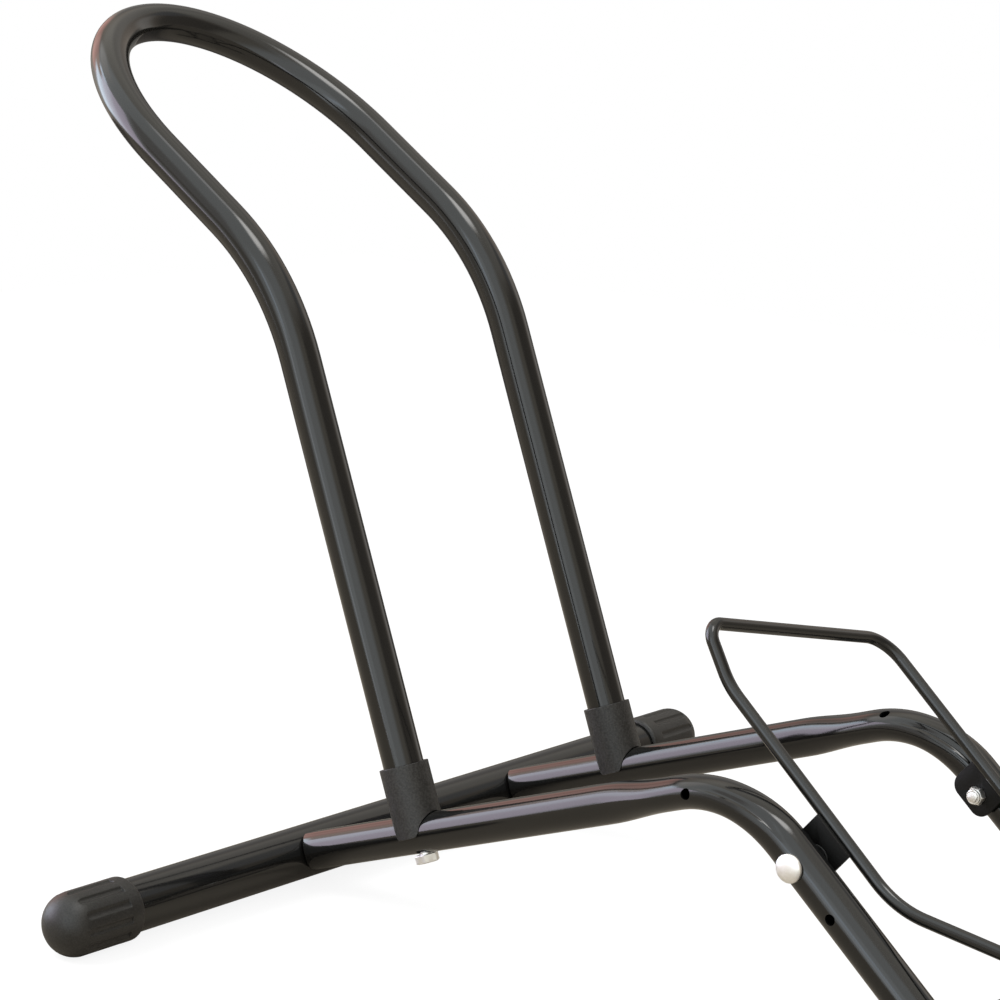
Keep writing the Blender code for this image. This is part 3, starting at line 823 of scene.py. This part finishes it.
# %% [markdown]
# ## Bracket plates
#
# A small plate on each side hangs the wire from the pivot bolt. It is an outline with a thickness, its edges barely
# broken, which is enough for a thin light line. A short weld bead under the wire is a sweep with ripples, as a row
# of weld pools leaves.

# %% Plates and weld beads
PLATE_FRONT = 0.0172
PLATE_REAR = 0.0123
PLATE_BELOW = 0.011
PLATE_ROUND = 0.008
PLATE_EDGE = 0.00035
ARC_STEPS = 12
BEVEL = {"width": PLATE_EDGE, "segments": 2, "limit_method": "ANGLE", "angle_limit": radians(50)}
BEAD_RADIUS = 0.0017
BEAD_RINGS = 60
BEAD_SIDES = 16
BEAD_POOLS = 9
BEAD_RIPPLE = 0.10
BEAD_BELOW_WIRE = 0.82
BEAD_SHARE = 0.8
BEAD_SINK = 0.35
BEAD_TIP = 0.45
BEAD_TAPER = 6

plate_low, plate_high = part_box("right_bracket_plate")
plate_thick = plate_high.y - plate_low.y
plate_drill = 6 * plate_thick


def corner_arc(x, z, radius, start, end):
    """Points of a rounded corner in an outline."""
    angles = [radians(start + (end - start) * step / ARC_STEPS) for step in range(ARC_STEPS + 1)]
    return [(x + radius * cos(a), z + radius * sin(a)) for a in angles]


def plate_mesh(name, side):
    """Flat plate with two round lower corners and a hole for the pivot bolt."""
    low = PLATE_ROUND - PLATE_BELOW
    outline = corner_arc(PLATE_ROUND - PLATE_FRONT, low, PLATE_ROUND, 180, 270)
    outline += corner_arc(PLATE_REAR - PLATE_ROUND, low, PLATE_ROUND, 270, 360)
    outline += [(PLATE_REAR, STOP_DROP), (-PLATE_FRONT, STOP_DROP)]
    work = bmesh.new()
    inner = sideways(side * plate_low.y)
    sheet = work.faces.new([work.verts.new(pivot + plate_along * x + plate_up * z + inner) for x, z in outline])
    grown = bmesh.ops.extrude_face_region(work, geom=[sheet])["geom"]
    moved = [item for item in grown if isinstance(item, bmesh.types.BMVert)]
    bmesh.ops.translate(work, verts=moved, vec=sideways(side * plate_thick))
    tool = drill(f"{name}_drill", pivot + inner, sideways(1), PIVOT_HOLE, plate_drill)
    return settle(name, mesh_from(name, work), [tool], [("BEVEL", BEVEL)])


def bead_mesh(name, side):
    """Rippled weld bead along the inner foot of the wire."""
    start = pivot + plate_up * (STOP_DROP - WIRE_RADIUS * BEAD_BELOW_WIRE) - plate_along * (PLATE_FRONT * BEAD_SHARE)
    length = (PLATE_FRONT + PLATE_REAR) * BEAD_SHARE
    inner = sideways(side * (plate_low.y - BEAD_RADIUS * BEAD_SINK))
    line = [start + plate_along * (length * ring / BEAD_RINGS) + inner for ring in range(BEAD_RINGS + 1)]
    rings = []
    for index, row in enumerate(ring_axes(line, plate_up)):
        share = index / BEAD_RINGS
        taper = min(1.0, BEAD_TIP + BEAD_TAPER * min(share, 1 - share))
        ripple = 1 + BEAD_RIPPLE * sin(2 * pi * BEAD_POOLS * share)
        rings.append(circle(*row, BEAD_RADIUS * taper * ripple, BEAD_SIDES))
    work = bmesh.new()
    for ring in skin(work, rings):
        work.faces.new(ring)
    return mesh_from(name, work)


for hand, side in SIDES:
    mesh = plate_mesh(f"{hand}_plate_skin", side)
    place_piece(f"{hand}_plate_skin", mesh, plate_coat, f"{hand}_bracket_plate",
                "wheel_stop")
    bead = add_object(f"{hand}_weld_bead", bead_mesh(f"{hand}_weld_bead", side))
    bead.data.materials.append(plate_coat)
    bead.data.shade_smooth()
    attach(bead, "wheel_stop")
print(f"plates {plate_thick * 1000:.1f} mm thick")

# %% [markdown]
# ## Fasteners
#
# A turned part is a profile spun round its axis, and a hexagon only pulls the radius in between its corners. A
# point of a profile says how far out, how high and how strongly it is a hexagon.

# %% Spin a profile into a fastener
SPIN_SIDES = 72
HALF_SIDE = pi / 6
THREAD_CREST = 0.15
THREAD_ROOT = 0.6
THREAD_DEPTH = 0.45


def hex_reach(angle):
    """Distance to the edge of a hexagon whose corners lie at distance 1."""
    folded = (angle + HALF_SIDE) % (2 * HALF_SIDE) - HALF_SIDE
    return cos(HALF_SIDE) / cos(HALF_SIDE - abs(folded))


def spun_mesh(name, profile, place, direction, first, bored=False):
    """Mesh of a profile of (radius, height, hexagon share); a hexagon's corner points to first."""
    turn = Matrix((first, direction.cross(first), direction)).transposed()
    rings = []
    for radius, height, share in profile:
        ring = []
        for angle in full_turn(SPIN_SIDES):
            reach = radius * (1 + share * (hex_reach(angle) - 1))
            ring.append(place + turn @ Vector((reach * cos(angle), reach * sin(angle), height)))
        rings.append(ring)
    work = bmesh.new()
    for end in skin(work, rings, closed=bored):
        if not bored:
            work.faces.new(end)
    return mesh_from(name, work)


def thread(radius, low, high, pitch):
    """Profile of a threaded end: a row of small ridges."""
    rows = []
    turns = max(1, round((high - low) / pitch))
    for index in range(turns):
        start = low + (high - low) * index / turns
        rows += [(radius, start, 0), (radius, start + pitch * THREAD_CREST, 0),
                 (radius - pitch * THREAD_DEPTH, start + pitch * THREAD_ROOT, 0)]
    return rows + [(radius, high, 0)]


# %% [markdown]
# The pivot bolts have a low round head with no recess: a dome with a short upright rim, which gives the thin dark
# edge round the bright middle. The friction washer sits between rail and plate, and a locking nut with a rounded
# collar closes the joint on the inside.

# %% Pivot bolts, washers and lock nuts
HEAD_RADIUS = 0.00825
HEAD_HEIGHT = 0.0040
HEAD_RIM = 0.0012
DOME_STEPS = 12
DOME_TIP = 0.02
BOLT_RADIUS = 0.003
BOLT_TAIL = 0.0015
BOLT_PITCH = 0.0008
WASHER_HOLE = 0.0033
NUT_FLATS = 0.010
NUT_HEIGHT = 0.006
NUT_FOOT = 0.87
NUT_COLLAR = 0.0015
SHOULDER_REACH = 0.88
SHOULDER_SHARE = 0.4
COLLAR_TOP = 0.72
COLLAR_ROUND = 0.08
COLLAR_STEPS = 4
CHAMFER = 0.0003

bolt_low, bolt_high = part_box("right_pivot_bolt")
washer_low, washer_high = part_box("right_friction_washer")
nut_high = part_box("right_lock_nut")[1]
nut_corner = NUT_FLATS / sqrt(3)
washer_radius = (washer_high.z - washer_low.z) / 2


def pivot_bolt_profile():
    """From the dome outside the rail to the threaded tail inside it; heights run inwards."""
    dome_height = HEAD_HEIGHT - HEAD_RIM
    rows = [(HEAD_RADIUS * DOME_TIP, 0.0, 0)]
    for turn in quarter_turn(DOME_STEPS)[2:]:
        rows.append((HEAD_RADIUS * sin(turn), dome_height * (1 - cos(turn)), 0))
    rows += [(HEAD_RADIUS, HEAD_HEIGHT - CHAMFER, 0), (HEAD_RADIUS - CHAMFER, HEAD_HEIGHT, 0),
             (BOLT_RADIUS, HEAD_HEIGHT, 0)]
    tail = bolt_high.y - bolt_low.y
    rows += thread(BOLT_RADIUS, tail - NUT_HEIGHT - BOLT_TAIL, tail - CHAMFER, BOLT_PITCH)
    return rows + [(BOLT_RADIUS - CHAMFER * 2, tail, 0)]


def washer_profile():
    """Washer with softened edges; the ring starts and ends at the hole."""
    thick = washer_high.y - washer_low.y
    return [(WASHER_HOLE, 0, 0), (washer_radius - CHAMFER, 0, 0), (washer_radius, CHAMFER, 0),
            (washer_radius, thick - CHAMFER, 0), (washer_radius - CHAMFER, thick, 0), (WASHER_HOLE, thick, 0)]


def lock_nut_profile():
    """Hexagon with a chamfer at its foot and the rounded collar that holds the locking ring."""
    top = NUT_HEIGHT
    rows = [(BOLT_RADIUS + CHAMFER, 0, 0), (nut_corner * NUT_FOOT, 0, 0), (nut_corner, CHAMFER * 2, 1),
            (nut_corner, top - NUT_COLLAR - CHAMFER * 3, 1),
            (nut_corner * SHOULDER_REACH, top - NUT_COLLAR, SHOULDER_SHARE)]
    for turn in quarter_turn(COLLAR_STEPS):
        reach = nut_corner * (COLLAR_TOP + COLLAR_ROUND * cos(turn))
        rows.append((reach, top - NUT_COLLAR * (1 - sin(turn)), 0))
    return rows + [(BOLT_RADIUS + CHAMFER, top, 0)]


for hand, side in SIDES:
    pieces = [("pivot_bolt", pivot_bolt_profile(), bolt_high.y, zinc_plate, False),
              ("friction_washer", washer_profile(), washer_high.y, dull_washer, True),
              ("lock_nut", lock_nut_profile(), nut_high.y, zinc_plate, True)]
    for kind, profile, top_y, plating, bored in pieces:
        name = f"{hand}_{kind}"
        place = pivot + sideways(side * top_y)
        mesh = spun_mesh(f"{name}_skin", profile, place, sideways(-side), heading(0), bored)
        place_piece(f"{name}_skin", mesh, plating, name)
print(f"pivot bolt heads {2 * HEAD_RADIUS * 1000:.1f} mm across")

# %% [markdown]
# The hoop bolts come up through the rails from below, each into a threaded plug in the foot of its leg. Only the
# hexagon head shows. The corners of its face are turned off at an angle, which leaves the curved edges of a real
# hexagon head. The plugs are right as the CAD model has them, so they keep their shape and only get the zinc.

# %% Hoop bolts and leg inserts
HOOP_BOLT_RADIUS = 0.004
HOOP_BOLT_FLATS = 0.013
HOOP_BOLT_HEAD = 0.0053
HOOP_BOLT_GRIP = 0.016
HOOP_BOLT_PITCH = 0.00125
HEX_FACE = ((0.93, 0.0, 0), (0.99, 0.4, 0.15))
HEX_START = 2.2
HEX_TOP = 0.97

bolt_corner = HOOP_BOLT_FLATS / sqrt(3)
top_end = leg_foot + HOOP_BOLT_GRIP


def hoop_bolt_profile():
    """From the hexagon head below the rail up into the insert."""
    head_top = -RAIL_RADIUS - COPE_GAP - HOOP_BOLT_FLATS * leg_tilt
    head_low = head_top - HOOP_BOLT_HEAD
    flat = HOOP_BOLT_FLATS / 2
    rows = [(flat * reach, head_low + CHAMFER * height, share) for reach, height, share in HEX_FACE]
    rows += [(bolt_corner, head_low + CHAMFER * HEX_START, 1), (bolt_corner, head_top - CHAMFER, 1),
             (bolt_corner * HEX_TOP, head_top, 1), (HOOP_BOLT_RADIUS, head_top, 0)]
    rows += thread(HOOP_BOLT_RADIUS, leg_foot, top_end - CHAMFER, HOOP_BOLT_PITCH)
    return rows + [(HOOP_BOLT_RADIUS - CHAMFER * 2, top_end - CHAMFER, 0)]


for hand, side in SIDES:
    name = f"{hand}_hoop_bolt"
    place = seat + sideways(side * rail_y)
    mesh = spun_mesh(f"{name}_skin", hoop_bolt_profile(), place, leg_direction, heading(HOOP_LEAN - 90))
    place_piece(f"{name}_skin", mesh, zinc_plate, name)
    for material_slot in nodes[f"{hand}_leg_insert"].material_slots:
        material_slot.material = zinc_plate
print(f"hoop bolt heads {HOOP_BOLT_FLATS * 1000:.0f} mm across flats")

# %% [markdown]
# ## Floor
#
# A plain pale floor melts into the white behind it. For light that bounces it is a diffuse surface, and its colour
# is painted dark far off on the rack's right: painted shade for the unlit edge of a studio floor, which the tubes
# show in their low reflections. It ends a little over two metres away, so that low reflections see the studio
# panels past it. For the camera, most of its brightness comes from itself: lit places reach full white, and a
# soft shadow stays under the tubes.

# %% Pale floor that keeps the shadow
FLOOR_HALF = 2.2
FLOOR_DROP = 0.0002
FLOOR_CORNERS = ((-1, -1), (1, -1), (1, 1), (-1, 1))
FLOOR_OWN_LIGHT = 0.87
FLOOR_LIT_SHARE = 0.28
FLOOR_WARM = (0.72, 0.64, 0.52)
# Painted shade: the floor's dark far tone, and the direction and distances over which its colour darkens into it.
FLOOR_FAR_SHADE = (0.22, 0.20, 0.18)
SHADE_TOWARDS = 120
SHADE_START = 0.45
SHADE_END = 0.80


def floor_finish():
    """Pale floor: diffuse for bounced light with painted shade far off on the rack's right, nearly white for the
    camera.
    """
    made = bpy.data.materials.new("pale_floor")
    made.use_nodes = True
    tree = made.node_tree
    tree.nodes.clear()
    place = add(tree, "ShaderNodeTexCoord").outputs["Object"]
    # Painted shade: the colour for bounced light darkens from the warm tone to the dark far tone towards the rack's
    # right.
    turn = {"Vector": place, "Rotation": (0, 0, radians(-SHADE_TOWARDS))}
    turned = add(tree, "ShaderNodeMapping", turn).outputs["Vector"]
    ahead = add(tree, "ShaderNodeSeparateXYZ", {"Vector": turned}).outputs["X"]
    far_shade = add(tree, "ShaderNodeMapRange", {"Value": ahead, "From Min": SHADE_START, "From Max": SHADE_END})
    tone = blended(tree, far_shade.outputs["Result"], FLOOR_WARM, FLOOR_FAR_SHADE)
    bounced = add(tree, "ShaderNodeBsdfDiffuse", {"Color": tone}).outputs["BSDF"]
    lit = add(tree, "ShaderNodeBsdfDiffuse", {"Color": (*(FLOOR_LIT_SHARE,) * 3, 1)}).outputs["BSDF"]
    own = add(tree, "ShaderNodeEmission", {"Color": (1, 1, 1, 1), "Strength": FLOOR_OWN_LIGHT}).outputs["Emission"]
    seen = add(tree, "ShaderNodeAddShader", {0: lit, 1: own}).outputs["Shader"]
    camera_ray = add(tree, "ShaderNodeLightPath").outputs["Is Camera Ray"]
    chosen = add(tree, "ShaderNodeMixShader", {"Fac": camera_ray, 1: bounced, 2: seen}).outputs["Shader"]
    add(tree, "ShaderNodeOutputMaterial", {"Surface": chosen})
    return made


work = bmesh.new()
work.faces.new([work.verts.new((x * FLOOR_HALF, y * FLOOR_HALF, -FLOOR_DROP)) for x, y in FLOOR_CORNERS])
floor = add_object("floor", mesh_from("floor", work))
floor.data.materials.append(floor_finish())
print("floor at", round(-FLOOR_DROP * 1000, 2), "mm")

# %% [markdown]
# ## Studio round the rack
#
# A black gloss tube has hardly any colour of its own. What one sees is the room in it: panels of light and the dark
# gaps between them turn into bands along each tube. So the world is a small studio. To the camera it is white, and
# to diffuse light an even soft grey. Only reflections see its panels, each a soft-edged window in compass direction
# and height.

# %% Shader node group: one soft panel of the studio
PANEL_NUMBERS = ("Middle", "Half Width", "Low", "High", "Side Softness", "Edge Softness")
HALF_COMPASS = 180.0


def build_panel_group():
    """Node group: a mask that is 1 inside a soft-edged window of direction, angles in degrees."""
    group = new_group("studio_panel", dict.fromkeys(("Azimuth", "Elevation", *PANEL_NUMBERS), 0.0), ("Mask",))
    given = add(group, "NodeGroupInput").outputs

    def soft_step(value, edge, softness):
        """0 well below the edge, 1 well above it."""
        limits = {"Value": value, "From Min": maths(group, "SUBTRACT", edge, softness),
                  "From Max": maths(group, "ADD", edge, softness)}
        return add(group, "ShaderNodeMapRange", limits, interpolation_type="SMOOTHSTEP").outputs["Result"]

    offset = maths(group, "SUBTRACT", given["Azimuth"], given["Middle"])
    away = maths(group, "ABSOLUTE", maths(group, "WRAP", offset, HALF_COMPASS, -HALF_COMPASS))
    outside = soft_step(away, given["Half Width"], given["Side Softness"])
    above = soft_step(given["Elevation"], given["Low"], given["Edge Softness"])
    over = soft_step(given["Elevation"], given["High"], given["Edge Softness"])
    height = maths(group, "MULTIPLY", above, maths(group, "SUBTRACT", 1.0, over))
    mask = maths(group, "MULTIPLY", height, maths(group, "SUBTRACT", 1.0, outside))
    add(group, "NodeGroupOutput", {"Mask": mask})
    return group


panel_group = build_panel_group()
print("panel sockets:", len(panel_group.interface.items_tree))

# %% [markdown]
# The panels are plain numbers: middle and half width in degrees round the compass, where 0 is the rear of the rack
# and 90 is its right side, then lowest and highest edge above the horizon, softness sideways and upwards, and
# colour. A wide one on the left gives the long sheen on the rails, and narrow blue-white strips the fine light
# lines down the legs.

# %% World with panels for reflections only
AMBIENT = 0.50
ROOM_TONE = (0.70, 0.61, 0.52)
PANELS = [
    ((0, 180, 42, 91), (1, 9), (1.22, 1.17, 1.05)),
    ((-105, 80, -9, 91), (14, 2), (1.72, 1.8, 1.8)),
    ((-12, 22, -9, 42), (13, 8), (0.96, 0.89, 0.75)),
    ((26, 32, -9, 38), (9, 8), (0.36, 0.32, 0.27)),
    ((60, 15, 30, 44), (7, 3), (0.52, 0.52, 0.52)),
    ((104, 22, 34, 55), (10, 6), (0.84, 0.8, 0.73)),
    ((76, 9, -9, 30), (6, 5), (1.12, 1.06, 0.98)),
    ((120, 34, -12, 9), (6, 4), (0.24, 0.23, 0.21)),
    ((126, 17, 9, 34), (6, 4), (0.42, 0.4, 0.38)),
    ((155, 9, 7, 30), (4, 4), (1.3, 0.76, 0.66)),
    ((170, 9, 6, 33), (4, 4), (2.0, 1.22, 1.08)),
    ((-175, 8, 10, 33), (3, 2), (2.1, 1.62, 1.4)),
    ((-176, 16, 38, 56), (6, 3), (2.05, 2.02, 1.95)),
    ((-118, 12, -9, 44), (5, 5), (1.05, 1.02, 0.98)),
    ((-118, 9, -9, 12), (4, 3), (0.65, 0.6, 0.52)),
    ((-150.5, 16, -8, 33), (2, 1.2), (4.6, 4.2, 5.0)),
    ((-171, 9, -8, 21), (4, 3), (5.0, 5.6, 6.4)),
    ((-159, 7, -8, 31), (3, 2), (5.2, 5.2, 6.0)),
    ((-166, 7, 29.5, 35), (2.5, 1.0), (5.0, 5.7, 6.6)),
    ((-82, 9, -8, 35), (4, 3), (2.15, 2.28, 2.32)),
    ((-95, 3.5, -7, 12), (2.5, 3), (3.2, 3.4, 3.6)),
    ((-90, 3.5, 12, 30), (2, 3), (3.2, 3.6, 4.0)),
    ((-66, 8, -7, -2), (3, 1), (3.2, 3.3, 3.6)),
    ((0, 180, 85, 91), (1, 2), (3.2, 3.2, 3.2)),
    ((-3, 36, 66.5, 84), (16, 4), (8.6, 8.5, 8.3)),
]


def build_world():
    """White for the camera, even for diffuse light, with panels for reflections."""
    world = bpy.data.worlds.new("studio")
    world.use_nodes = True
    tree = world.node_tree
    tree.nodes.clear()
    place = add(tree, "ShaderNodeTexCoord").outputs["Generated"]
    along = add(tree, "ShaderNodeSeparateXYZ", {"Vector": place}).outputs
    angles = {"Azimuth": maths(tree, "DEGREES", maths(tree, "ARCTAN2", along["Y"], along["X"])),
              "Elevation": maths(tree, "DEGREES", maths(tree, "ARCSINE", along["Z"]))}
    room = ROOM_TONE
    for window, softness, colour in PANELS:
        numbers = dict(zip(PANEL_NUMBERS, window + softness))
        panel = add(tree, "ShaderNodeGroup", {**angles, **numbers}, node_tree=panel_group)
        room = blended(tree, panel.outputs["Mask"], room, colour)
    ray = add(tree, "ShaderNodeLightPath").outputs
    shown = blended(tree, ray["Is Glossy Ray"], (AMBIENT, AMBIENT, AMBIENT), room)
    white = maths(tree, "MAXIMUM", ray["Is Camera Ray"], ray["Is Transmission Ray"])
    shown = blended(tree, white, shown, (1.0, 1.0, 1.0))
    background = add(tree, "ShaderNodeBackground", {"Color": shown})
    add(tree, "ShaderNodeOutputWorld", {"Surface": background.outputs["Background"]})
    return world


bpy.context.scene.world = build_world()
print("studio panels:", len(PANELS))

# %% [markdown]
# ## Lamps
#
# Two large soft area lamps give the rack its form and the floor its shadow: a key lamp high on the front left and a
# weaker one at the rear. Their power follows from the light that a white card at the rack should get, so colours
# render about as they are written. In reflections the panels stand for them.

# %% Two soft lamps
LAMPS = [("key_lamp", (-1.3, -1.5, 2.3), 1.6, 0.36), ("fill_lamp", (1.9, -0.6, 1.7), 1.4, 0.16)]
AIM_HEIGHT = 0.15
aim = (front_axis + rear_axis) / 2 + Vector((0, 0, AIM_HEIGHT))

for name, place, size, level in LAMPS:
    lamp = bpy.data.lights.new(name, "AREA")
    lamp.shape = "SQUARE"
    lamp.size = size
    reach = aim - Vector(place)
    lamp.energy = level * pi ** 2 * reach.length_squared
    holder = add_object(name, lamp)
    holder.location = place
    holder.rotation_euler = reach.to_track_quat("-Z", "Y").to_euler()
    holder.visible_camera = False
    holder.visible_glossy = False
    print(f"{name}: {lamp.energy:.1f} W")

# %% [markdown]
# ## Camera
#
# The photograph was taken from the rack's rear left, a little above it, with a long lens. The place, turn and focal
# length were found by matching edges of the tubes. The plain Standard view transform shows colours as they are.

# %% Camera and view
camera = bpy.data.cameras.new("camera")
camera.lens = 113.69
camera.sensor_width = 36.0
camera.clip_end = 200.0
holder = add_object("camera", camera)
holder.location = (1.1286, -1.4902, 0.6448)
holder.rotation_euler = [radians(angle) for angle in (78.22866, -2.17661, 39.74713)]
bpy.context.scene.camera = holder
bpy.context.scene.view_settings.view_transform = "Standard"
print("camera lens:", camera.lens, "mm")
